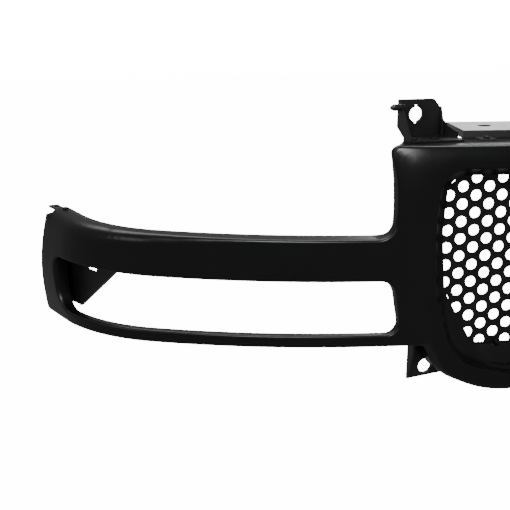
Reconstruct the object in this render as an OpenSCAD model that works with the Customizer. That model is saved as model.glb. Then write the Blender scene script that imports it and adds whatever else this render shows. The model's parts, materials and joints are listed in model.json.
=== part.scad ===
// Front grille: bowed centre surround, wrap-round lamp arms, perforated insert and fixings.
// Millimetres. The front faces -Y, +X runs across it and +Z is up.
// The origin is midway between the two upper mounting holes, on the back of their plates.

/* [Plan curve] */
// radius of the bow across the middle
bow_r = 2670; // [2200:10:3300]
// radius of the arm in plan
arm_r = 985; // [820:5:1180]
// heading where the arm hands over to the corner
arm_end = 29; // [26:0.5:32]
// radius of the wrapped corner
corner_r = 200; // [160:5:245]
// heading where the corner ends
corner_end = 79; // [72:1:84]
// straight run behind the corner
tail_len = 62; // [50:1:80]

/* [Shell] */
// wall thickness of the moulding
wall = 3; // [2.5:0.25:3.75]
// height of the arms
arm_h = 162; // [135:1:196]
// depth of the top flange of the arms
arm_flange = 32; // [26:1:39]
// rounding of the top edge of the arms
arm_round = 12; // [9:1:15]
// height of the bar under the lamp opening
low_bar_h = 18.5; // [15:0.5:23]
// height of the lamp opening
lamp_h = 81.5; // [67:0.5:98]
// depth of the flange round the lamp opening
lamp_flange = 14; // [11:1:18]
// how far the surround stands proud of the arms
proud = 8; // [6:0.5:10]
// rise of the surround above the arms
rise = 134; // [111:1:161]
// drop of the surround below the arms
chin = 73; // [60:1:88]
// half width of the surround at the top
top_half = 481; // [440:1:484]
// depth of the top flange of the surround
top_flange = 66; // [54:1:79]
// depth of the rim round the sides and bottom of the surround
rim_depth = 36; // [30:1:40]

/* [Mesh insert] */
// half width of the mesh opening
open_half = 402; // [335:1:408]
// height of the bar above the mesh opening
brow = 42; // [34:1:51]
// depth of the mesh behind the arm face
mesh_depth = 30; // [25:1:36]
// thickness of the mesh insert
mesh_t = 2.5; // [2:0.25:3.5]
// radius of the round holes
hole_r = 8.3; // [6:0.1:9.4]
// spacing of the columns of holes
col_gap = 20.2; // [19:0.1:25]
// spacing of the holes in one column
row_gap = 26.3; // [22:0.1:32]

/* [Brackets] */
// distance between the upper mounting holes
up_span = 840; // [820:1:856]
// height of the upper mounting holes above the top flange
up_rise = 36; // [30:1:44]
// distance between the lower mounting holes
low_span = 804; // [790:1:812]
// drop of the lower mounting holes below the arms
low_drop = 45; // [38:1:50]
// radius of the mounting holes
mount_r = 11; // [8:0.25:13]
// half width of the keyway across an upper mounting hole
key_half = 2.5; // [1.5:0.25:4]
// thickness of the bracket plates
plate_t = 4; // [3:0.25:5]

/* [Fixings] */
// radius of the screw shanks
screw_r = 2; // [1.5:0.1:2.4]
// clearance round a screw or a stud
clear = 0.25; // [0.15:0.05:0.5]
// radius of the screw heads
head_r = 4.5; // [4:0.1:5.5]
// height of the screw heads
head_h = 3; // [2:0.25:4]

/* [Hidden] */
$fn = 48;
// heights
top_z = arm_h + rise;
open_top = top_z - brow;
open_low = 41 - chin;
ledge_z = open_low + 24;
lamp_z0 = low_bar_h;
lamp_z1 = low_bar_h + lamp_h;
// the bow hands over to the arm just outside the surround
bow_end = asin((top_half + 38) / bow_r);
up_x = up_span / 2;
up_z = top_z + up_rise;
low_x = low_span / 2;
low_z = -low_drop;
// arc centres and joins of the left half of the plan curve
c1 = [0, bow_r];
p1 = c1 - bow_r * [sin(bow_end), cos(bow_end)];
c2 = p1 + arm_r * [sin(bow_end), cos(bow_end)];
p2 = c2 - arm_r * [sin(arm_end), cos(arm_end)];
c3 = p2 + corner_r * [sin(arm_end), cos(arm_end)];
p3 = c3 - corner_r * [sin(corner_end), cos(corner_end)];
tail = [-cos(corner_end), sin(corner_end)];
p4 = p3 + tail_len * tail;
split_y = p3[1] - 60;
// depth of the bow behind its front-most line
function bow_y(x) = bow_r - sqrt(bow_r * bow_r - x * x);
brace_z = arm_h - 28;
foot_d = top_flange - 9;
up_y = bow_y(up_x) + top_flange + 16;
low_y = bow_y(low_x) + rim_depth + 4 + plate_t;
foot_y = up_y - plate_t - 44;
beam_d0 = top_flange + 6;
beam_d1 = beam_d0 + 76;
beam_top = top_z + 12;
wing_x = 361;
pin_y = up_y - 12;
tab_d0 = arm_flange / 2 - 1;
tab_d1 = arm_flange - 2;
tab_mid = (tab_d0 + tab_d1) / 2;
pin_z = up_z + 12;
// places across the part
stud_x = [70, 210, open_half - 52];
foot_x = [64, 192, 320];
slot_x = [100, 296];
clip_x = [100, open_half - 104];
up_screw_x = [up_x - 16, up_x + 16];
low_boss = [[low_x + 1, -10], [low_x - 22, -22]];
brace_at = [26, 96];

// every corner of a counter-clockwise outline, moved in by k
function unit(v) = v / norm(v);
function inward(a, b) = [-unit(b - a)[1], unit(b - a)[0]];
function shift(p, i, k) =
    let (n = len(p), a = p[(i + n - 1) % n], b = p[i], c = p[(i + 1) % n])
    let (u = inward(a, b), v = inward(b, c))
    b + k * (u + v) / (1 + u * v);
function inset(p, k) = [for (i = [0:len(p) - 1]) shift(p, i, k)];
function mirrored(h) = concat(h, [for (i = [len(h) - 1:-1:0]) [-h[i][0], h[i][1]]]);
function twice(r) = concat(r, [for (i = [len(r) - 1:-1:0]) r[i]]);

// the same outline with its corners rounded to the radii in r, a point every few degrees
function turn(v, t) = [cos(t) * v[0] - sin(t) * v[1], sin(t) * v[0] + cos(t) * v[1]];
function soft(p, r) = [for (i = [0:len(p) - 1])
    let (n = len(p), a = p[(i + n - 1) % n], b = p[i], c = p[(i + 1) % n])
    let (t = acos(unit(b - a) * unit(c - b)), m = max(1, ceil(t / 7)))
    for (s = r[i] > 0 ? [0:m] : [0])
        r[i] > 0 ? shift(p, i, r[i]) - r[i] * turn(inward(a, b), s * t / m) : b];

module rounded(p, r) {
    polygon(soft(p, r));
}

// pushes an outline drawn in the front view from depth y0 to depth y1
module through(y0, y1) {
    translate([0, y1, 0]) rotate([90, 0, 0]) linear_extrude(y1 - y0) children();
}

// pushes an outline drawn in the side view from x0 to x1
module across(x0, x1) {
    translate([x0, 0, 0]) rotate([90, 0, 90]) linear_extrude(x1 - x0) children();
}

// turns a depth and height section about one arc of the left half
module turned(c, r, a, b) {
    translate([c[0], c[1], 0]) rotate([0, 0, 270 - b])
        rotate_extrude(angle = b - a, $fn = 180)
            translate([r, 0]) mirror([1, 0]) children();
}

// carries a section along the straight tail, from s0 to s1
module straight(s0, s1) {
    translate([p3[0] + s1 * tail[0], p3[1] + s1 * tail[1], 0])
        rotate([0, 0, 90 - corner_end]) rotate([90, 0, 0])
            linear_extrude(s1 - s0) children();
}

// the same section across the whole bow
module mid_sweep(a) {
    translate([c1[0], c1[1], 0]) rotate([0, 0, 270 - a])
        rotate_extrude(angle = 2 * a, $fn = 360)
            translate([bow_r, 0]) mirror([1, 0]) children();
}

// the outline s along one arm, from a distance x off the middle; a collar bridges each join
module arm_sweep(x, s) {
    g = 0.5;
    turned(c1, bow_r, asin(x / bow_r), bow_end - to_angle(g, bow_r)) polygon(s);
    collar(p1, bow_end, s);
    turned(c2, arm_r, bow_end + to_angle(g, arm_r), arm_end - to_angle(g, arm_r)) polygon(s);
    collar(p2, arm_end, s);
    turned(c3, corner_r, arm_end + to_angle(g, corner_r), corner_end - to_angle(g, corner_r))
        polygon(s);
    collar(p3, corner_end, s);
    straight(g, tail_len) polygon(s);
}

function to_angle(g, r) = g / r * 180 / PI;

module collar(p, h, s) {
    translate([p[0], p[1], 0]) rotate([0, 0, 90 - h]) rotate([90, 0, 0])
        translate([0, 0, -1.5]) linear_extrude(3) polygon(inset(s, -0.06));
}

module both() {
    children();
    mirror([1, 0, 0]) children();
}

function slab(d0, d1, z0, z1) = [[d0, z0], [d1, z0], [d1, z1], [d0, z1]];

module band(d0, d1, z0, z1) {
    polygon(slab(d0, d1, z0, z1));
}

// cylinders along Y and along Z
module rod_y(x, z, r, y0, y1) {
    translate([x, y1, z]) rotate([90, 0, 0]) cylinder(h = y1 - y0, r = r);
}

module rod_z(x, y, r, z0, z1) {
    translate([x, y, z0]) cylinder(h = z1 - z0, r = r);
}

// outlines in the front view
surround = mirrored([[290, -chin], [396, -chin + 27], [424, 0], [456, arm_h - 42],
    [top_half, arm_h + 38], [top_half, top_z]]);
surround_r = twice([180, 60, 60, 0, 100, 14]);
opening = mirrored([[open_half - 72, open_low], [open_half - 30, open_low + 26],
    [open_half - 4, open_low + 98], [open_half, open_low + 182], [open_half - 12, open_top]]);
opening_r = twice([30, 30, 110, 110, 28]);

module surround_shape(k) {
    rounded(inset(surround, k), [for (r = surround_r) r > 0 ? r - k : 0]);
}

module opening_shape(k) {
    rounded(inset(opening, -k), [for (r = opening_r) r + k]);
}

// lamp opening, cut from the front and from the side where the arm wraps back
module lamp_cut(k) {
    through(-60, split_y)
        rounded([[p4[0] - 60, lamp_z0 - k], [20 - top_half + k, lamp_z0 - k],
            [6 - top_half + k, lamp_z1 + k], [p4[0] - 60, lamp_z1 + k]], [0, 16 + k, 22 + k, 0]);
    across(p4[0] - 60, p3[0] + 40)
        rounded([[split_y - 30, lamp_z0 - k], [p4[1] - 52 + k, lamp_z0 - k],
            [p4[1] - 40 + k, lamp_z1 + k], [split_y - 30, lamp_z1 + k]], [0, 38 + k, 18 + k, 0]);
}

// face, rounded top edge, top flange and bottom flange of an arm in one outline
function edge_arc(r, t0, t1) = [for (i = [0:4])
    let (t = t0 + (t1 - t0) * i / 4)
    [arm_round - r * cos(t), arm_h - arm_round + r * sin(t)]];

arm_section = concat(
    [[0, 0], [arm_flange / 2, 0], [arm_flange / 2, wall], [wall, wall]],
    edge_arc(arm_round - wall, 0, 90),
    [[arm_flange, arm_h - wall], [arm_flange, arm_h]],
    edge_arc(arm_round, 90, 0));

module arm() {
    difference() {
        arm_sweep(top_half - 65, arm_section);
        lamp_cut(0);
        through(-60, 240) surround_shape(wall / 2);
    }
    // flange round the lamp opening
    difference() {
        intersection() {
            arm_sweep(top_half - 20, slab(wall / 2, lamp_flange, lamp_z0 - wall, lamp_z1 + wall));
            lamp_cut(wall);
        }
        lamp_cut(0);
    }
    // wall that closes the outer end
    difference() {
        straight(tail_len - wall, tail_len) band(wall / 2, arm_flange, wall / 2, arm_h - wall / 2);
        straight(0, tail_len + 1) translate([arm_round + 6, 24]) square([40, arm_h - 60]);
        straight(tail_len - wall - 1, tail_len + 1)
            band(tab_d0 - clear, tab_d1 + clear, arm_h - 2 * wall - clear, arm_h - wall);
    }
    // fillet between the arm and the surround
    intersection() {
        turned(c1, bow_r, asin((top_half - 12) / bow_r), asin((top_half + 24) / bow_r))
            band(0, wall, arm_h - arm_round, arm_h + 22);
        through(-60, 240) difference() {
            translate([-top_half - 20, arm_h - arm_round - 1])
                square([20 + wall / 2, 21 + arm_round]);
            translate([-top_half - 20, arm_h + 20]) circle(20, $fn = 48);
        }
    }
    // bosses behind the face for the lamp brace
    for (y = brace_at) brace_boss(y);
}

module brace_boss(y) {
    on_brace(y, brace_z) rotate([0, 90, 0]) difference() {
        cylinder(h = brace_gap(y), r = head_r);
        translate([0, 0, -1]) cylinder(h = 13, r = screw_r);
    }
}

module surround_body() {
    difference() {
        union() {
            // proud face
            intersection() {
                mid_sweep(bow_end) band(-proud, wall - proud, -chin - 5, top_z + 5);
                through(-60, 240) difference() {
                    surround_shape(0);
                    opening_shape(0);
                }
            }
            // outer rim
            intersection() {
                mid_sweep(bow_end) band(-proud, rim_depth, -chin - 5, top_z + 5);
                through(-60, 240) difference() {
                    surround_shape(0);
                    surround_shape(wall);
                }
            }
            // top flange
            intersection() {
                mid_sweep(asin((top_half - 10) / bow_r)) band(30, top_flange, top_z - wall, top_z);
                translate([-top_half + 10, -60, 0]) cube([2 * top_half - 20, 300, 500]);
            }
            // throat down to the mesh
            intersection() {
                mid_sweep(bow_end) band(-proud, mesh_depth, open_low - 20, open_top + 20);
                through(-60, 240) difference() {
                    opening_shape(wall);
                    opening_shape(0);
                }
            }
            // seat behind the throat
            intersection() {
                mid_sweep(bow_end) band(mesh_depth - wall, mesh_depth, open_low - 20, open_top + 20);
                through(-60, 240) difference() {
                    opening_shape(14);
                    opening_shape(0);
                }
            }
            // sloped ledge under the mesh
            intersection() {
                mid_sweep(bow_end)
                    polygon([[wall / 2 - proud, open_low - wall / 2], [mesh_depth, ledge_z - wall],
                        [mesh_depth, ledge_z], [wall / 2 - proud, open_low + wall / 2]]);
                through(-60, 240) opening_shape(wall / 2);
            }
            both() for (b = low_boss) low_boss_post(b);
            both() for (x = stud_x) for (z = [open_top + 7, open_low - 7])
                if (z > 0 || x < open_half - 100) stud(x, z);
            both() stud(open_half + 5, (open_top + open_low) / 2);
        }
        both() for (x = foot_x) rod_z(x, bow_y(x) + foot_d, screw_r + clear, top_z - 20, top_z + 5);
        both() for (x = up_screw_x) rod_z(x, foot_y + 12, screw_r + clear, top_z - 20, top_z + 5);
    }
}

module low_boss_post(b) {
    difference() {
        rod_y(b[0], b[1], head_r, bow_y(b[0]) - proud + wall / 2, low_y - plate_t);
        rod_y(b[0], b[1], screw_r, bow_y(b[0]) + 12, low_y);
    }
}

module stud(x, z) {
    rod_y(x, z, screw_r, bow_y(x) + mesh_depth - wall / 2, bow_y(x) + mesh_depth + mesh_t + 5);
}

module grille_shell() {
    color("#1b1c1e") {
        surround_body();
        both() difference() {
            arm();
            tail_hole();
        }
    }
}

// perforated insert, staggered rows of round holes
module mesh_insert() {
    cols = floor((open_half + 10) / col_gap);
    rows = ceil((open_top - open_low) / row_gap);
    mid_z = (open_top + ledge_z) / 2 + 4.5;
    color("#232427") intersection() {
        mid_sweep(bow_end) band(mesh_depth, mesh_depth + mesh_t, open_low - 20, open_top + 20);
        through(0, 240) difference() {
            opening_shape(13);
            intersection() {
                opening_shape(-2);
                translate([-open_half, ledge_z]) square([2 * open_half, open_top - ledge_z]);
                for (i = [-cols:cols]) for (j = [-rows:rows])
                    translate([i * col_gap, mid_z + row_gap * (j + (i % 2 == 0 ? 0 : 0.5))])
                        circle(hole_r, $fn = 32);
            }
            for (s = [-1, 1]) {
                for (x = stud_x) for (z = [open_top + 7, open_low - 7])
                    if (z > 0 || x < open_half - 100) translate([s * x, z]) circle(screw_r + clear);
                translate([s * (open_half + 5), (open_top + open_low) / 2])
                    circle(screw_r + clear);
            }
        }
    }
}

module mesh_push_nuts() {
    color("#8a8d91") both() {
        for (x = stud_x) for (z = [open_top + 7, open_low - 7])
            if (z > 0 || x < open_half - 100) push_nut(x, z);
        push_nut(open_half + 5, (open_top + open_low) / 2);
    }
}

module push_nut(x, z) {
    y0 = bow_y(x + 5.5) + mesh_depth + mesh_t;
    difference() {
        rod_y(x, z, 5.5, y0, y0 + 1.2);
        rod_y(x, z, screw_r, y0 - 1, y0 + 3);
    }
}

// small clips that hold the mesh to the edge of the ledge
module mesh_clips() {
    color("#2b2c2f") both() for (x = clip_x)
        translate([x - 4, bow_y(x - 4) + mesh_depth - 9, ledge_z]) difference() {
            cube([8, 8, 4]);
            translate([2, -1, 2]) cube([4, 5, 5]);
        }
}

// hollow beam behind the top flange, standing on six feet
module header_beam() {
    half = asin(358 / bow_r);
    color("#3a3c40") difference() {
        union() {
            mid_sweep(half) {
                band(beam_d0, beam_d1, beam_top - wall, beam_top);
                band(beam_d0, beam_d0 + wall, top_z, beam_top);
                band(beam_d1 - wall, beam_d1, top_z - 6, beam_top);
            }
            both() turned(c1, bow_r, half - 0.07, half) band(beam_d0, beam_d1, top_z, beam_top);
            both() for (x = [128, 256]) turned(c1, bow_r, asin(x / bow_r), asin(x / bow_r) + 0.06)
                band(beam_d0, beam_d1, top_z, beam_top);
            both() for (x = foot_x) intersection() {
                mid_sweep(half) band(foot_d - 9, beam_d0 + wall, top_z, top_z + wall);
                translate([x - 13, -60, 0]) cube([26, 400, 900]);
            }
        }
        both() for (x = foot_x) rod_z(x, bow_y(x) + foot_d, screw_r + clear, top_z - 1, top_z + 5);
        both() for (x = slot_x) {
            for (s = [-4, 4]) rod_z(x + s, bow_y(x) + beam_d0 + 40, 7, beam_top - 5, beam_top + 5);
            translate([x - 4, bow_y(x) + beam_d0 + 33, beam_top - 5]) cube([8, 14, 10]);
        }
    }
}

module beam_screws() {
    color("#6d7074") both() for (x = foot_x) {
        rod_z(x, bow_y(x) + foot_d, screw_r, top_z - 9, top_z + wall);
        rod_z(x, bow_y(x) + foot_d, head_r, top_z + wall, top_z + wall + head_h);
    }
}

module beam_nuts() {
    color("#8a8d91") both() for (x = foot_x) flat_nut(x, bow_y(x) + foot_d);
}

// square speed nut under the top flange
module flat_nut(x, y) {
    difference() {
        translate([x - 6, y - 6, top_z - wall - 2]) cube([12, 12, 2]);
        rod_z(x, y, screw_r, top_z - wall - 3, top_z);
    }
}

// upright plate with a keyed hole, foot on the top flange, gusset and sloping wing
module upper_bracket() {
    lo = up_x - 42;
    hi = up_x + 28;
    base = up_z - 18;
    color("#303236") difference() {
        union() {
            through(up_y - plate_t, up_y) polygon([[wing_x, top_z], [up_x + 12, top_z],
                [up_x + 18, base], [hi, base], [hi, up_z + 22], [lo + 13, up_z + 22],
                [lo + 5, up_z + 13], [lo, up_z - 8], [wing_x, top_z + 12]]);
            // lip along the top of the wing
            through(up_y - 12, up_y) polygon([[lo, up_z - 8], [wing_x, top_z + 12],
                [wing_x, top_z + 9], [lo, up_z - 11]]);
            translate([wing_x, foot_y + 24, top_z])
                cube([up_x + 4 - wing_x, up_y - foot_y - 24, plate_t]);
            translate([wing_x, foot_y, top_z]) cube([hi - wing_x, 24, plate_t]);
            across(hi - wall, hi) polygon([[foot_y, top_z], [foot_y + 14, top_z], [up_y, base],
                [up_y, up_z + 22], [up_y - plate_t, up_z + 22], [foot_y, top_z + plate_t + 2]]);
            across(lo, lo + wall) polygon([[up_y - 12, top_z], [up_y, top_z],
                [up_y, up_z + 10], [up_y - plate_t, up_z + 10], [up_y - 12, up_z - 10]]);
            // web that runs forward beside the end of the beam
            intersection() {
                translate([0, 0, top_z]) linear_extrude(up_z - top_z) polygon([[lo, up_y],
                    [wing_x, foot_y + 20], [wing_x + wall, foot_y + 20], [lo + wall, up_y]]);
                across(wing_x, lo + wall) polygon([[foot_y + 20, top_z], [up_y, top_z],
                    [up_y, up_z - 8], [foot_y + 20, top_z + 12]]);
            }
            // raised ring that stiffens the hole
            rod_y(up_x, up_z, mount_r + 3, up_y - plate_t - 1.5, up_y);
        }
        rod_y(up_x, up_z, mount_r, up_y - 20, up_y + 5);
        translate([up_x - key_half, up_y - 20, up_z - mount_r - 3])
            cube([2 * key_half, 25, 2 * mount_r + 6]);
        for (x = up_screw_x) rod_z(x, foot_y + 12, screw_r + clear, top_z - 1, top_z + plate_t + 1);
        translate([hi - 10, pin_y, pin_z]) rotate([0, 90, 0])
            cylinder(h = 20, r = screw_r + clear);
    }
}

module upper_bracket_right() {
    upper_bracket();
}

module upper_bracket_left() {
    mirror([1, 0, 0]) upper_bracket();
}

module upper_bracket_screws() {
    color("#6d7074") both() for (x = up_screw_x) {
        rod_z(x, foot_y + 12, screw_r, top_z - 9, top_z + plate_t);
        rod_z(x, foot_y + 12, head_r, top_z + plate_t, top_z + plate_t + head_h);
    }
}

module upper_bracket_nuts() {
    color("#8a8d91") both() for (x = up_screw_x) flat_nut(x, foot_y + 12);
}

// finger that finds the hole in the front panel, pressed through the outer gusset
module locating_pin() {
    hi = up_x + 28;
    color("#202124") translate([hi, pin_y, pin_z]) rotate([0, 90, 0]) {
        cylinder(h = 12, r = 5);
        translate([0, 0, 12]) cylinder(h = 5, r1 = 5, r2 = 2.5, $fn = 48);
        translate([0, 0, -wall]) cylinder(h = wall, r = screw_r);
        translate([0, 0, -wall - 2]) cylinder(h = 2, r = head_r);
    }
}

module locating_pin_right() {
    locating_pin();
}

module locating_pin_left() {
    mirror([1, 0, 0]) locating_pin();
}

// lower plate with its round hole, screwed to two posts of the shell
module lower_bracket() {
    lo = low_x - 31;
    hi = low_x + 29;
    color("#303236") difference() {
        union() {
            through(low_y - plate_t, low_y) polygon([[lo, 0], [lo, low_z - 12], [hi, low_z - 18],
                [hi, 0]]);
            across(hi - wall, hi) polygon([[low_y - 20, 0], [low_y, 0], [low_y, low_z - 18],
                [low_y - plate_t, low_z - 18], [low_y - 20, low_z + 30]]);
            rod_y(low_x, low_z, mount_r + 3, low_y - plate_t, low_y + 2);
        }
        rod_y(low_x, low_z, mount_r, low_y - 20, low_y + 5);
        for (b = low_boss) rod_y(b[0], b[1], screw_r + clear, low_y - 20, low_y + 5);
    }
}

module lower_bracket_right() {
    lower_bracket();
}

module lower_bracket_left() {
    mirror([1, 0, 0]) lower_bracket();
}

module lower_bracket_screws() {
    color("#6d7074") both() for (b = low_boss) {
        rod_y(b[0], b[1], screw_r, bow_y(b[0]) + 14, low_y);
        rod_y(b[0], b[1], head_r, low_y, low_y + head_h);
    }
}

// flat frame behind the outer end of the lamp opening: local X points out of the face
brace_p = c3 - (corner_r - lamp_flange - 2) * [sin(46), cos(46)];
brace_q = p3 + 44 * tail + (lamp_flange + 2) * [sin(corner_end), cos(corner_end)];
brace_run = norm(brace_q - brace_p);
brace_turn = atan2(brace_q[1] - brace_p[1], brace_q[0] - brace_p[0]);
brace_c = [(c3 - brace_p) * [cos(brace_turn + 90), sin(brace_turn + 90)],
    (c3 - brace_p) * [-cos(brace_turn), -sin(brace_turn)]];

module on_brace(y, z) {
    translate([brace_p[0], brace_p[1], 0]) rotate([0, 0, brace_turn + 90])
        translate([0, -y, z]) children();
}

// reach from the frame to the middle of the shell wall
function brace_gap(y) = brace_c[0] + sqrt(corner_r * corner_r - (y + brace_c[1]) ^ 2) - wall / 2;

// triangular web with a slot and a rolled edge along its diagonal
module lamp_brace_left() {
    color("#2a2c2f") difference() {
        union() {
            on_brace(0, 0) rotate([90, 0, 90]) translate([0, 0, -2.5]) linear_extrude(2.5)
                polygon([[0, arm_h - 12], [0, lamp_z1 + 2], [-96, lamp_z0 + 4],
                    [-brace_run, lamp_z0 + 4], [-brace_run, arm_h - 12]]);
            on_brace(0, 0) rotate([90, 0, 90]) translate([0, 0, -2.5]) linear_extrude(6)
                polygon([[0, lamp_z1 + 2], [-96, lamp_z0 + 4], [-102, lamp_z0 + 8],
                    [-4, lamp_z1 + 8]]);
        }
        for (y = brace_at) on_brace(y, brace_z) rotate([0, 90, 0])
            cylinder(h = 20, r = screw_r + clear, center = true);
        on_brace(70, lamp_z1 - 14) cube([20, 22, 5], center = true);
    }
}

module lamp_brace_right() {
    mirror([1, 0, 0]) lamp_brace_left();
}

module lamp_brace_screws() {
    color("#6d7074") both() for (y = brace_at) on_brace(y, brace_z) rotate([0, 90, 0]) {
        translate([0, 0, -2.5]) cylinder(h = 12, r = screw_r);
        translate([0, 0, -2.5 - head_h]) cylinder(h = head_h, r = head_r);
    }
}

// tab under the end of the top flange, for the wing panel
module fender_tab_left() {
    color("#303236") difference() {
        straight(tail_len - 26, tail_len + 34) band(tab_d0, tab_d1, arm_h - 2 * wall, arm_h - wall);
        tail_hole();
        tail_at(tail_len + 20) cylinder(h = 40, r = 3.5, center = true);
    }
}

module tail_at(s) {
    translate([p3[0] + s * tail[0] + tab_mid * sin(corner_end), p3[1] + s * tail[1] +
        tab_mid * cos(corner_end), arm_h]) children();
}

module tail_hole() {
    tail_at(tail_len - 15) translate([0, 0, -12]) cylinder(h = 24, r = screw_r + clear);
}

module fender_tab_right() {
    mirror([1, 0, 0]) fender_tab_left();
}

module fender_tab_screws() {
    color("#6d7074") both() tail_at(tail_len - 15) {
        translate([0, 0, -12]) cylinder(h = 12, r = screw_r);
        cylinder(h = head_h, r = head_r);
    }
}

translate([0, -up_y, -up_z]) {
    grille_shell();
    mesh_insert();
    header_beam();
    upper_bracket_left();
    upper_bracket_right();
    lower_bracket_left();
    lower_bracket_right();
    lamp_brace_left();
    lamp_brace_right();
    fender_tab_left();
    fender_tab_right();
    locating_pin_left();
    locating_pin_right();
    mesh_clips();
    mesh_push_nuts();
    beam_screws();
    beam_nuts();
    upper_bracket_screws();
    upper_bracket_nuts();
    lower_bracket_screws();
    lamp_brace_screws();
    fender_tab_screws();
}
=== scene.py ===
import json
import math

import bmesh
import bpy
import numpy as np
from mathutils import Matrix, Vector


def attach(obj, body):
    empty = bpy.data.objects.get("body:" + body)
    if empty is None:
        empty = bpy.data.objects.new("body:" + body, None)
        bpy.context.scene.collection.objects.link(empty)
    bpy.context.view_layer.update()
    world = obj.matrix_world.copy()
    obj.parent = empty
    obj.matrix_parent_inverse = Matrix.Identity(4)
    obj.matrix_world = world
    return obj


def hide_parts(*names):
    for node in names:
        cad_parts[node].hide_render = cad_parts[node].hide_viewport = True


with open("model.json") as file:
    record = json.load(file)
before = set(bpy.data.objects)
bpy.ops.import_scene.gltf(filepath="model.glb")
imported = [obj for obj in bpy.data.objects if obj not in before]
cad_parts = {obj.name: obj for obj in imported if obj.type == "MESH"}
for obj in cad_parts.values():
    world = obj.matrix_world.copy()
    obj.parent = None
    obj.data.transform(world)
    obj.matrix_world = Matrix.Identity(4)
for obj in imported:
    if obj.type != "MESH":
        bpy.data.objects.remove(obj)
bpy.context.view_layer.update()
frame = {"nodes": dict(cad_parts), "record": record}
nodes = frame["nodes"]
print("frame loaded:", len(nodes), "nodes")

# the plan curve that everything follows, in millimetres, before the row's origin is set
plan = {
    "bowRadius": 2670.0,
    "armRadius": 985.0,
    "cornerRadius": 200.0,
    "bowEnd": math.asin(519.0 / 2670.0),
    "armEnd": math.radians(29),
    "cornerEnd": math.radians(79),
    "tail": 69.0,
    "origin": (0.0, 115.2406, 332.0),  # midway between the upper mounting holes
    "normalStart": 470.0,  # depth runs straight back up to here
    "normalSpan": 90.0,  # and square to the face after this much more
}
bowLength = plan["bowRadius"] * plan["bowEnd"]
armLength = bowLength + plan["armRadius"] * (plan["armEnd"] - plan["bowEnd"])
cornerLength = armLength + plan["cornerRadius"] * (plan["cornerEnd"] - plan["armEnd"])
endLength = cornerLength + plan["tail"]


def headingAt(s):
    if s < bowLength:
        return s / plan["bowRadius"]
    if s < armLength:
        return plan["bowEnd"] + (s - bowLength) / plan["armRadius"]
    if s < cornerLength:
        return plan["armEnd"] + (s - armLength) / plan["cornerRadius"]
    return plan["cornerEnd"]


def arcPoint(start, heading, radius, angle):
    turned = heading + angle
    return (start[0] + radius * (math.sin(turned) - math.sin(heading)),
            start[1] + radius * (math.cos(heading) - math.cos(turned)))


bowJoin = arcPoint((0, 0), 0, plan["bowRadius"], plan["bowEnd"])
armJoin = arcPoint(bowJoin, plan["bowEnd"], plan["armRadius"], plan["armEnd"] - plan["bowEnd"])
cornerJoin = arcPoint(armJoin, plan["armEnd"], plan["cornerRadius"],
                      plan["cornerEnd"] - plan["armEnd"])


def basePoint(s):
    if s < bowLength:
        return arcPoint((0, 0), 0, plan["bowRadius"], s / plan["bowRadius"])
    if s < armLength:
        return arcPoint(bowJoin, plan["bowEnd"], plan["armRadius"],
                        (s - bowLength) / plan["armRadius"])
    if s < cornerLength:
        return arcPoint(armJoin, plan["armEnd"], plan["cornerRadius"],
                        (s - armLength) / plan["cornerRadius"])
    run = s - cornerLength
    return (cornerJoin[0] + run * math.cos(plan["cornerEnd"]),
            cornerJoin[1] + run * math.sin(plan["cornerEnd"]))


def bend(s, z, depth):  # a point of the flat pattern in its place, in metres
    side = -1 if s < 0 else 1
    s = abs(s)
    x, y = basePoint(s)
    square = clamp((s - plan["normalStart"]) / plan["normalSpan"])
    heading = headingAt(s) * square
    ox, oy, oz = plan["origin"]
    return Vector((side * (x - depth * math.sin(heading)) - ox,
                   y + depth * math.cos(heading) - oy, z - oz)) / 1000


def lengthAt(x):  # distance along the bow of a place x across it
    return plan["bowRadius"] * math.asin(x / plan["bowRadius"])


def bowDepth(x):
    return plan["bowRadius"] - math.sqrt(plan["bowRadius"] ** 2 - x * x)


def clamp(t):
    return min(1, max(0, t))


def smooth(t):
    t = clamp(t)
    return t * t * (3 - 2 * t)


def ramp(value, start, span):
    return smooth((value - start) / span)


def addNode(tree, kind, **values):
    node = tree.nodes.new(kind)
    for key, value in values.items():
        if key in node.inputs:
            node.inputs[key].default_value = value
        else:
            setattr(node, key, value)
    return node


grainRule = {
    "shades": (0.35, 0.68),  # share of the broad pattern at the dark and the light shade
    "dullness": (0.3, 0.7),  # the same for the least and the most roughness
    "height": 0.0004,
}


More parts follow.
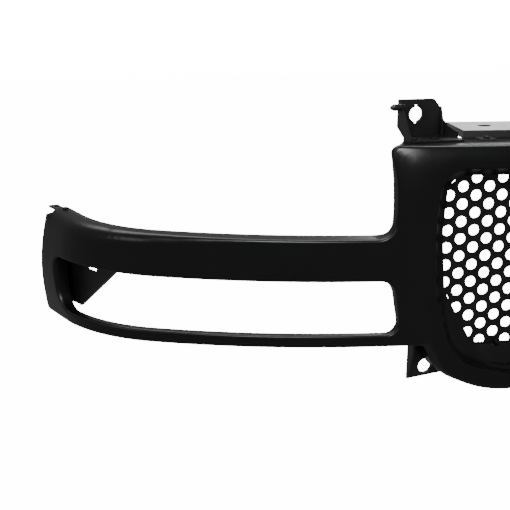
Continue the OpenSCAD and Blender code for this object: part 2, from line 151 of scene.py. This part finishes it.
def makeFinish(name, look):
    finish = bpy.data.materials.new(name)
    finish.use_nodes = True
    tree = finish.node_tree
    shader = tree.nodes["Principled BSDF"]
    shader.inputs["Metallic"].default_value = look.get("metal", 0.0)
    shader.inputs["Specular IOR Level"].default_value = look.get("specular", 0.5)
    shader.inputs["Coat Weight"].default_value = look.get("coat", 0.0)
    shader.inputs["Coat Roughness"].default_value = look.get("coatRough", 0.2)
    place = addNode(tree, "ShaderNodeTexCoord")
    broad = addNode(tree, "ShaderNodeTexNoise", Scale=look["broad"], Detail=4.0, Roughness=0.6)
    fine = addNode(tree, "ShaderNodeTexNoise", Scale=look["fine"], Detail=3.0, Roughness=0.55)
    for noise in (broad, fine):
        tree.links.new(place.outputs["Object"], noise.inputs["Vector"])
    colour = addNode(tree, "ShaderNodeValToRGB")
    stops = colour.color_ramp.elements
    stops[0].position, stops[1].position = grainRule["shades"]
    stops[0].color = (*look["dark"], 1)
    stops[1].color = (*look["light"], 1)
    tree.links.new(broad.outputs["Fac"], colour.inputs["Fac"])
    tree.links.new(colour.outputs["Color"], shader.inputs["Base Color"])
    rough = addNode(tree, "ShaderNodeMapRange")
    for socket, value in zip(("From Min", "From Max", "To Min", "To Max"),
                             (*grainRule["dullness"], *look["rough"])):
        rough.inputs[socket].default_value = value
    tree.links.new(broad.outputs["Fac"], rough.inputs["Value"])
    tree.links.new(rough.outputs["Result"], shader.inputs["Roughness"])
    grain = addNode(tree, "ShaderNodeBump", Strength=look["grain"],
                    Distance=grainRule["height"])
    tree.links.new(fine.outputs["Fac"], grain.inputs["Height"])
    tree.links.new(grain.outputs["Normal"], shader.inputs["Normal"])
    return finish


finishes = {
    "satin_black": makeFinish("satinBlackPlastic", {
        "dark": (0.0020, 0.0020, 0.0022), "light": (0.0034, 0.0034, 0.0037), "rough": (0.27, 0.33),
        "specular": 0.40, "broad": 5.0, "fine": 900.0, "grain": 0.05}),
    "mesh_black": makeFinish("meshBlackPlastic", {
        "dark": (0.004, 0.004, 0.0044), "light": (0.0068, 0.0069, 0.0074), "rough": (0.36, 0.46),
        "specular": 0.4, "broad": 22.0, "fine": 1100.0, "grain": 0.08}),
    "bracket_black": makeFinish("bracketBlackPlastic", {
        "dark": (0.007, 0.007, 0.0076), "light": (0.013, 0.013, 0.014), "rough": (0.34, 0.48),
        "specular": 0.5, "broad": 30.0, "fine": 1400.0, "grain": 0.12}),
    "beam_black": makeFinish("beamBlackPlastic", {
        "dark": (0.030, 0.030, 0.031), "light": (0.046, 0.046, 0.048), "rough": (0.26, 0.36),
        "specular": 0.6, "coat": 0.5, "coatRough": 0.22, "broad": 14.0, "fine": 1200.0,
        "grain": 0.1}),
    "zinc": makeFinish("zincPlate", {
        "dark": (0.30, 0.31, 0.33), "light": (0.47, 0.48, 0.50), "rough": (0.26, 0.42),
        "metal": 1.0, "broad": 260.0, "fine": 2600.0, "grain": 0.18}),
    "black_steel": makeFinish("blackenedSteel", {
        "dark": (0.020, 0.020, 0.021), "light": (0.048, 0.047, 0.046), "rough": (0.30, 0.5),
        "metal": 0.6, "broad": 300.0, "fine": 2400.0, "grain": 0.2}),
}
slotOf = {row["node"]: row["material_slot"] for row in frame["record"]["subparts"]}
print("finishes made:", len(finishes))

# the moulding, drawn flat: s runs along the plan curve, z upwards, depth straight back
shell = {
    "armHeight": 162.0,
    "top": 296.0,
    "wall": 3.0,
    "proud": 8.0,  # how far the surround stands in front of the arms
    "rings": (0.6, 0.9, 1.3, 1.7, 2.5),  # widths of the strips along every edge
    "columnStep": 12.0,
    "columnReach": 1056.0,
    "rowStep": 9.0,
    "rowReach": (-66, 296),
    "armRows": [145.5, 149.5, 152.5],  # more rows where an arm's top edge rolls over
    "cutGap": 0.15,  # points nearer than this to a cut are used as they are
    "mergeGap": 0.00002,  # in metres
    "topRadius": 3.0,
    "sideRadius": 4.0,
    "lampRadius": 3.4,
    "recessRadius": 5.0,
    "armRadius": (4.0, 22.0),  # rounding of the top edge near the middle and at the outer end
    "armRounding": (660.0, 360.0),  # where that starts to grow, and over what length
    "armStart": 505.0,  # past the fillet between surround and arm
    "sideEdge": 481.0,  # across the widest place of the surround
    "aboveArm": 165.0,
    "nearArmTop": 150.0,
    "nearTop": 250.0,
    "flangeEdge": 285.0,
    "browHeight": 84.0,  # height over which the brow leans back to its top edge
    "browLean": 15.0,
    "cornerLean": 7.0,
    "cornerAcross": (430.0, 52.0),  # where the upper corner starts to lean, and over what width
    "cornerRise": 60.0,
    "crown": 4.5,  # swell of the surround between its edges
    "armCrown": 2.5,
    "endCrown": 8.0,
    "endSwell": (880.0, 150.0),
    "stepWidth": (9.0, 60.0),  # bevel between arm and surround, at the bottom and at the top
    "stepLead": 10.0,
    "returnSteps": (0.25, 0.5, 0.75, 0.93, 1),
    "lampReturn": 14.0,
    "armReturn": 32.0,
    "barReturn": 16.0,  # behind the low bar under a lamp opening
    "barStart": 430.0,
    "endReach": 12.0,  # at the outer end the low bar's return is as deep as the arm's
    "topReturn": 74.0,
    "topCuts": ((14, 360, 30), (40, 440, 36)),  # how much shallower, from where, over what length
    "filletCut": (14, 500, 20),  # the same, counted towards the middle
    "rimReturn": 36.0,
    "seatDepth": 27.0,  # where the insert lies
    "seatWidth": 14.0,
    "floorReach": 345.0,  # the sloping floor of the recess fades out near here
    "floorFade": 40.0,
}
outlineHalf = [  # place along the curve, height, corner radius
    (lengthAt(330), -71.5, 160), (lengthAt(399), -43, 50), (lengthAt(424), 0, 2),
    (endLength, 0, 9), (endLength, 162, 9), (lengthAt(473.5), 162, 26), (lengthAt(473), 205, 40),
    (lengthAt(475), 245, 60), (lengthAt(482), 297, 12)]
recessHalf = [  # front edge of the lip round the insert
    (lengthAt(290), -46, 120), (lengthAt(380), -24, 70), (lengthAt(415), 90, 150),
    (lengthAt(417), 190, 200), (lengthAt(412), 264, 44)]
seatHalf = [  # where the lip meets the insert
    (lengthAt(336), -9.5, 16), (lengthAt(385), 75, 60), (lengthAt(393), 165, 150),
    (lengthAt(388), 250, 27)]
lampOutline = [
    (lengthAt(459), 18.5, 18), (1012, 18.5, 38), (1024, 100, 18), (lengthAt(474), 100, 24)]


def softLoop(corners, longest=11.0, turnStep=9.0):  # rounds the corners and cuts long runs
    count = len(corners)
    points = []
    for i in range(count):
        before, here, after = (Vector(corners[(i + k) % count][:2]) for k in (-1, 0, 1))
        radius = corners[i][2]
        inDir, outDir = (here - before).normalized(), (after - here).normalized()
        turn = inDir.angle_signed(outDir)
        if radius == 0 or abs(turn) < 1e-4:
            points.append(here)
            continue
        reach = radius * math.tan(abs(turn) / 2)
        start = here - inDir * reach
        steps = max(2, math.ceil(max(abs(turn) / math.radians(turnStep),
                                     radius * abs(turn) / longest)))
        side = Vector((-inDir.y, inDir.x)) * (1 if turn < 0 else -1)
        centre = start + side * radius
        for k in range(steps + 1):
            angle = -turn * k / steps
            points.append(centre + Matrix.Rotation(angle, 2) @ (start - centre))
    filled = []
    for i, here in enumerate(points):
        after = points[(i + 1) % len(points)]
        parts = max(1, math.ceil((after - here).length / longest))
        filled += [here.lerp(after, k / parts) for k in range(parts)]
    return filled


def bothSides(half):
    return half + [(-s, z, r) for s, z, r in reversed(half)]


def otherSide(loop):
    return [(-s, z, r) for s, z, r in reversed(loop)]


loops = {
    "outline": softLoop(bothSides(outlineHalf)),
    "recess": softLoop(bothSides(recessHalf)),
    "lampRight": softLoop(lampOutline),
    "lampLeft": softLoop(otherSide(lampOutline)),
}
seatLoop = softLoop(bothSides(seatHalf), 3.0)


def edgeRadius(name, s, z):
    s = abs(s)
    if name == "recess":
        return shell["recessRadius"]
    if name.startswith("lamp"):
        return shell["lampRadius"]
    if s > lengthAt(shell["sideEdge"]) - 1 and z > shell["nearArmTop"]:
        if z > shell["aboveArm"] or s < shell["armStart"]:
            return shell["sideRadius"]
        near, far = shell["armRadius"]
        return near + (far - near) * ramp(s, *shell["armRounding"])
    if z > shell["nearTop"]:
        return shell["topRadius"]
    return shell["sideRadius"]


class EdgeTable:  # nearest edge of the pattern to any point, with its rounding
    def __init__(self, names):
        self.a, self.b, self.r = [], [], []
        for name in names:
            loop = loops[name]
            for i, p in enumerate(loop):
                q = loop[(i + 1) % len(loop)]
                middle = (p + q) / 2
                self.a.append(p)
                self.b.append(q)
                self.r.append(edgeRadius(name, middle.x, middle.y))
        self.a = np.array(self.a)
        self.span = np.array(self.b) - self.a
        self.r = np.array(self.r)
        self.square = (self.span ** 2).sum(1)

    def near(self, s, z):
        to = np.array((s, z)) - self.a
        t = np.clip((to * self.span).sum(1) / self.square, 0, 1)
        gap = np.hypot(*(to - self.span * t[:, None]).T)
        k = int(gap.argmin())
        return float(gap[k]), float(self.r[k])


edges = EdgeTable(loops)
outerEdges = EdgeTable(["outline"])
recessEdges = EdgeTable(["recess"])
stepLine = [Vector(p) for p in (
    (lengthAt(482), 330), (lengthAt(473), 200), (lengthAt(457), 120), (lengthAt(446), 53),
    (lengthAt(434.5), 23), (lengthAt(424), 0), (lengthAt(399), -43), (lengthAt(300), -120))]


def insideStep(s, z):  # distance inside the side line of the surround, below zero outside it
    best, signed = math.inf, 0
    point = Vector((abs(s), z))
    for p, q in zip(stepLine, stepLine[1:]):
        along = q - p
        t = clamp((point - p).dot(along) / along.length_squared)
        away = point - (p + along * t)
        if away.length < best:
            best = away.length
            signed = best if along.x * away.y - along.y * away.x < 0 else -best
    return signed


def faceDepth(s, z):  # how far back the front face lies
    s = abs(s)
    gap, radius = edges.near(s, z)
    rise = clamp(z / shell["armHeight"])
    narrow, wide = shell["stepWidth"]
    width = narrow + (wide - narrow) * rise ** 1.5
    lead = max(0, z - shell["armHeight"] - shell["stepLead"])
    onSurround = smooth((insideStep(s, z) + lead) / width)
    if s > lengthAt(shell["sideEdge"] + 1) + 1:
        onSurround = 0
    depth = -shell["proud"] * onSurround
    lean = clamp((z - shell["top"] + shell["browHeight"]) / shell["browHeight"])
    depth += shell["browLean"] * lean ** 2
    if z > shell["aboveArm"]:
        start, across = shell["cornerAcross"]
        aside = clamp((s - lengthAt(start)) / across)
        depth += shell["cornerLean"] * aside ** 2 * ramp(z, shell["aboveArm"], shell["cornerRise"])
    outer, inner = outerEdges.near(s, z)[0], recessEdges.near(s, z)[0]
    between = 4 * outer * inner / (outer + inner + 1e-6) ** 2  # 1 half way, 0 at either edge
    depth -= shell["crown"] * onSurround * between
    swell = shell["armCrown"] + shell["endCrown"] * ramp(s, *shell["endSwell"])
    depth -= (1 - onSurround) * math.sin(math.pi * rise) * swell
    if gap < radius:
        depth += radius - math.sqrt(max(0, radius ** 2 - (radius - gap) ** 2))
    return depth


def backDepth(name, s, z):  # how far the return behind an edge runs
    s = abs(s)
    upper = z > shell["armHeight"] / 2 - 1
    if name.startswith("lamp"):
        return shell["lampReturn"]
    if s > shell["armStart"] and upper:
        return shell["armReturn"]
    if s > shell["barStart"] and not upper:
        atEnd = s > endLength - shell["endReach"]
        return shell["armReturn"] if atEnd else shell["barReturn"]
    if z > shell["flangeEdge"]:  # the top flange, shallower by the bracket and at the corner
        return shell["topReturn"] - sum(cut * ramp(s, start, span)
                                        for cut, start, span in shell["topCuts"])
    if z > shell["nearArmTop"]:
        cut, start, span = shell["filletCut"]
        return shell["armReturn"] - cut * smooth((start - s) / span)
    return shell["rimReturn"]


lip = [  # depth, and how far in the sides and the sloping floor have come, as shares
    (3.0, 0.02, 0.01), (5.5, 0.07, 0.04), (7.5, 0.12, 0.19), (11.0, 0.22, 0.24),
    (12.5, 0.27, 0.36), (19.0, 0.55, 0.62), (24.0, 0.82, 0.86), (27.0, 1.0, 1.0)]


seatStart = np.array([tuple(p) for p in seatLoop])
seatSpan = np.roll(seatStart, -1, axis=0) - seatStart


def seatPoint(point):  # nearest place on the seat of the insert
    to = np.array(tuple(point)) - seatStart
    t = np.clip((to * seatSpan).sum(1) / (seatSpan ** 2).sum(1), 0, 1)
    place = seatStart + seatSpan * t[:, None]
    return Vector(place[np.hypot(*(place - np.array(tuple(point))).T).argmin()])


def buildPattern():  # the face, laid flat, with strips along its edges and a grid over the rest
    bm = bmesh.new()
    for loop in loops.values():
        verts = [bm.verts.new((p.x, p.y, 0)) for p in loop]
        for i, v in enumerate(verts):
            bm.edges.new((v, verts[(i + 1) % len(verts)]))
    bmesh.ops.triangle_fill(bm, edges=bm.edges[:], use_beauty=True, use_dissolve=False,
                            normal=(0, 0, 1))
    inner = bm.faces[:]
    for width in shell["rings"]:
        bmesh.ops.inset_region(bm, faces=inner, thickness=width, use_boundary=True,
                               use_even_offset=True)
    reach = shell["columnReach"]
    columns = [((s, 0, 0), (1, 0, 0)) for s in np.arange(-reach, reach + 1, shell["columnStep"])]
    heights = list(np.arange(*shell["rowReach"], shell["rowStep"])) + shell["armRows"]
    rows = [((0, z, 0), (0, 1, 0)) for z in heights]
    for place, square in columns + rows:
        bmesh.ops.bisect_plane(bm, geom=bm.verts[:] + bm.edges[:] + bm.faces[:],
                               dist=shell["cutGap"], plane_co=place, plane_no=square)
    return bm


def loopOf(v):  # name of the edge that a point lies on
    gaps = {}
    for name, loop in loops.items():
        gaps[name] = min((v.co.xy - p).length_squared for p in loop)
    return min(gaps, key=gaps.get)


def cameFrom(v, known):  # the point that a new point was drawn out of
    joined = (e.other_vert(v) for e in v.link_edges if e.other_vert(v) in known)
    return min(joined, key=lambda o: (o.co - v.co).length_squared)


def shapeShell():
    bm = buildPattern()
    print("pattern cut:", len(bm.faces), "faces")
    rim = [e for e in bm.edges if len(e.link_faces) == 1]
    for v in bm.verts:
        v.co.z = faceDepth(v.co.x, v.co.y)
    names = {}
    for e in rim:
        for v in e.verts:
            if v not in names:
                names[v] = loopOf(v)
    start = {v: v.co.z for v in names}
    source = {v: v for v in names}
    steps = {"recess": lip, "other": shell["returnSteps"]}
    seatDepth = shell["seatDepth"]
    for group in ("recess", "other"):
        rows = [e for e in rim if (names[source[e.verts[0]]] == "recess") == (group == "recess")]
        for step in steps[group]:
            made = bmesh.ops.extrude_edge_only(bm, edges=rows)
            fresh = [g for g in made["geom"] if isinstance(g, bmesh.types.BMVert)]
            rows = [g for g in made["geom"] if isinstance(g, bmesh.types.BMEdge)
                    and len(g.link_faces) == 1]
            for v in fresh:
                first = source[v] = source[cameFrom(v, source)]
                if group == "recess":
                    depth, run, rise = step
                    seat = seatPoint(first.co.xy)
                    floor = 0
                    if first.co.y < 0:
                        floor = smooth((shell["floorReach"] - abs(first.co.x))
                                       / shell["floorFade"])
                    share = run + (rise - run) * floor
                    v.co.xy = first.co.xy.lerp(seat, share)
                    sunk = max(0, depth - 1) / (seatDepth - 1)
                    v.co.z = start[first] + (seatDepth - start[first]) * sunk
                else:
                    back = backDepth(names[first], first.co.x, first.co.y)
                    v.co.z = start[first] + (back - start[first]) * step
        if group == "recess":  # seat for the insert, turned outwards
            made = bmesh.ops.extrude_edge_only(bm, edges=rows)
            for v in (g for g in made["geom"] if isinstance(g, bmesh.types.BMVert)):
                old = cameFrom(v, source)
                away = source[old].co.xy - old.co.xy
                v.co.xy = old.co.xy + away.normalized() * shell["seatWidth"]
    for v in bm.verts:
        v.co = bend(v.co.x, v.co.y, v.co.z)
    bmesh.ops.remove_doubles(bm, verts=bm.verts[:], dist=shell["mergeGap"])
    bmesh.ops.recalc_face_normals(bm, faces=bm.faces[:])
    front = max(bm.faces, key=lambda f: f.calc_area() if f.calc_center_median().z < 0 else 0)
    if front.normal.y > 0:
        bmesh.ops.reverse_faces(bm, faces=bm.faces[:])
    return bm


def finishPiece(name, bm, slotName, replaced=(), smoothAngle=40):
    mesh = bpy.data.meshes.new(name)
    bm.to_mesh(mesh)
    bm.free()
    piece = bpy.data.objects.new(name, mesh)
    bpy.context.scene.collection.objects.link(piece)
    for face in mesh.polygons:
        face.use_smooth = True
    mesh.set_sharp_from_angle(angle=math.radians(smoothAngle))
    mesh.materials.append(finishes[slotName])
    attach(piece, "root")
    for node in replaced:
        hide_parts(node)
    return piece


posts = {  # places as x and z, on either side
    "studs": [(70, 261), (70, -39), (210, 261), (210, -39), (350, 261), (407, 111)],
    "studRadius": 2.0,
    "studDepth": (26.0, 37.5),
    "bracketPosts": [(403, -10), (380, -22)],
    "postRadius": 4.5,
    "postStart": -1.5,  # behind the plan curve at the post
    "postEnd": (402, 39.9),  # the same, behind the curve at the middle of the lower bracket
    "sides": 20,
    "taper": 0.94,
    "roundOver": 0.0004,  # in metres
}


def addPost(bm, start, end, radius):
    turn = (end - start).to_track_quat("Z", "Y").to_matrix().to_4x4()
    made = bmesh.ops.create_cone(bm, cap_ends=True, segments=posts["sides"],
                                 radius1=radius / 1000, radius2=radius * posts["taper"] / 1000,
                                 depth=(end - start).length,
                                 matrix=Matrix.Translation((start + end) / 2) @ turn)
    caps = [e for v in made["verts"] for e in v.link_edges
            if any(len(f.verts) > 4 for f in e.link_faces)]
    bmesh.ops.bevel(bm, geom=list(set(caps)), offset=posts["roundOver"], segments=2, profile=0.5,
                    affect="EDGES", material=-1)


def rowPoint(x, y, z):  # a point in millimetres in its place, in metres
    return Vector((x, y - plan["origin"][1], z - plan["origin"][2])) / 1000


def shapePosts():
    bm = bmesh.new()
    for side in (-1, 1):
        for x, z in posts["studs"]:
            near, far = (bowDepth(x) + d for d in posts["studDepth"])
            addPost(bm, rowPoint(side * x, near, z), rowPoint(side * x, far, z),
                    posts["studRadius"])
        for x, z in posts["bracketPosts"]:
            middle, gap = posts["postEnd"]
            addPost(bm, rowPoint(side * x, bowDepth(x) + posts["postStart"], z),
                    rowPoint(side * x, bowDepth(middle) + gap, z), posts["postRadius"])
    return bm


shellPiece = finishPiece("grilleShellSurface", shapeShell(), "satin_black", ["grille_shell"])
wall = shellPiece.modifiers.new("wall", "SOLIDIFY")
wall.thickness = shell["wall"] / 1000
wall.offset = -1
wall.use_even_offset = False
wall.use_rim = True
print("shell shaped")
finishPiece("grilleShellPosts", shapePosts(), "satin_black", ["grille_shell"])
print("posts and studs set")

# the other pieces keep their shape and get their finishes
for name, node in nodes.items():
    if name == "grille_shell":
        continue
    node.data.materials.clear()
    node.data.materials.append(finishes[slotOf[name]])

stage = {
    "floorHeight": -0.95,
    "floorSize": 14.0,
    "floorGrey": 0.9,
    "floorShow": 0.06,  # share of the floor's own shade that shows
    "world": 0.22,  # what the surfaces mirror
    "backdrop": 16.0,  # what lies behind the object
}


def makeFloor():
    bm = bmesh.new()
    bmesh.ops.create_grid(bm, x_segments=1, y_segments=1, size=stage["floorSize"] / 2)
    bmesh.ops.translate(bm, verts=bm.verts[:], vec=(0, 0, stage["floorHeight"]))
    mesh = bpy.data.meshes.new("paleFloor")
    bm.to_mesh(mesh)
    bm.free()
    floor = bpy.data.objects.new("paleFloor", mesh)
    bpy.context.scene.collection.objects.link(floor)
    pale = bpy.data.materials.new("paleFloor")
    pale.use_nodes = True
    tree = pale.node_tree
    tree.nodes.clear()
    out = addNode(tree, "ShaderNodeOutputMaterial")
    mix = addNode(tree, "ShaderNodeMixShader", Fac=stage["floorShow"])
    clear = addNode(tree, "ShaderNodeBsdfTransparent")
    dull = addNode(tree, "ShaderNodeBsdfDiffuse", Color=(*[stage["floorGrey"]] * 3, 1))
    tree.links.new(clear.outputs[0], mix.inputs[1])
    tree.links.new(dull.outputs[0], mix.inputs[2])
    tree.links.new(mix.outputs[0], out.inputs["Surface"])
    mesh.materials.append(pale)


def makeWorld():
    world = bpy.data.worlds.new("softStudio")
    bpy.context.scene.world = world
    world.use_nodes = True
    tree = world.node_tree
    tree.nodes.clear()
    out = addNode(tree, "ShaderNodeOutputWorld")
    mix = addNode(tree, "ShaderNodeMixShader")
    path = addNode(tree, "ShaderNodeLightPath")
    room = addNode(tree, "ShaderNodeBackground", Color=(1, 1, 1, 1), Strength=stage["world"])
    white = addNode(tree, "ShaderNodeBackground", Color=(1, 1, 1, 1), Strength=stage["backdrop"])
    tree.links.new(path.outputs["Is Camera Ray"], mix.inputs["Fac"])
    tree.links.new(room.outputs[0], mix.inputs[1])
    tree.links.new(white.outputs[0], mix.inputs[2])
    tree.links.new(mix.outputs[0], out.inputs["Surface"])


softboxes = {  # place, point looked at, width, height, power
    "topBox": ((-0.3, 1.7, 2.0), (-0.4, 0.0, -0.1), 3.4, 0.9, 46),
    "leftBox": ((-3.2, -0.6, 1.2), (-0.9, 0.1, -0.25), 1.6, 1.2, 12),
    "cornerBox": ((-1.0, -1.2, 1.2), (-0.44, -0.1, -0.05), 0.8, 0.4, 26),
    "backBox": ((1.95, 4.0, 0.9), (-0.1, 0.0, -0.02), 1.0, 0.8, 9),
}


def makeLights():
    for name, (place, target, width, height, power) in softboxes.items():
        light = bpy.data.lights.new(name, "AREA")
        light.shape = "RECTANGLE"
        light.size, light.size_y, light.energy = width, height, power
        box = bpy.data.objects.new(name, light)
        box.location = place
        box.rotation_euler = (Vector(target) - Vector(place)).to_track_quat("-Z", "Y").to_euler()
        bpy.context.scene.collection.objects.link(box)


shot = {"place": (-1.33141, -1.83634, 0.32518), "yaw": 20.0, "pitch": 15.0, "roll": -1.5,
        "lens": 98.82, "sensor": 36.0, "clip": (0.05, 60.0)}


def makeCamera():
    yaw, pitch, roll = (math.radians(shot[k]) for k in ("yaw", "pitch", "roll"))
    forward = Vector((math.sin(yaw) * math.cos(pitch), math.cos(yaw) * math.cos(pitch),
                      -math.sin(pitch)))
    right = Vector((math.cos(yaw), -math.sin(yaw), 0))
    up = right.cross(forward)
    right, up = (right * math.cos(roll) - up * math.sin(roll),
                 right * math.sin(roll) + up * math.cos(roll))
    data = bpy.data.cameras.new("camera")
    data.lens = shot["lens"]
    data.sensor_width = shot["sensor"]
    data.clip_start, data.clip_end = shot["clip"]
    camera = bpy.data.objects.new("camera", data)
    camera.matrix_world = Matrix((
        (right.x, up.x, -forward.x, shot["place"][0]),
        (right.y, up.y, -forward.y, shot["place"][1]),
        (right.z, up.z, -forward.z, shot["place"][2]),
        (0, 0, 0, 1)))
    bpy.context.scene.collection.objects.link(camera)
    bpy.context.scene.camera = camera


makeFloor()
makeWorld()
makeLights()
makeCamera()
print("stage, light and camera set")

bpy.context.view_layer.update()
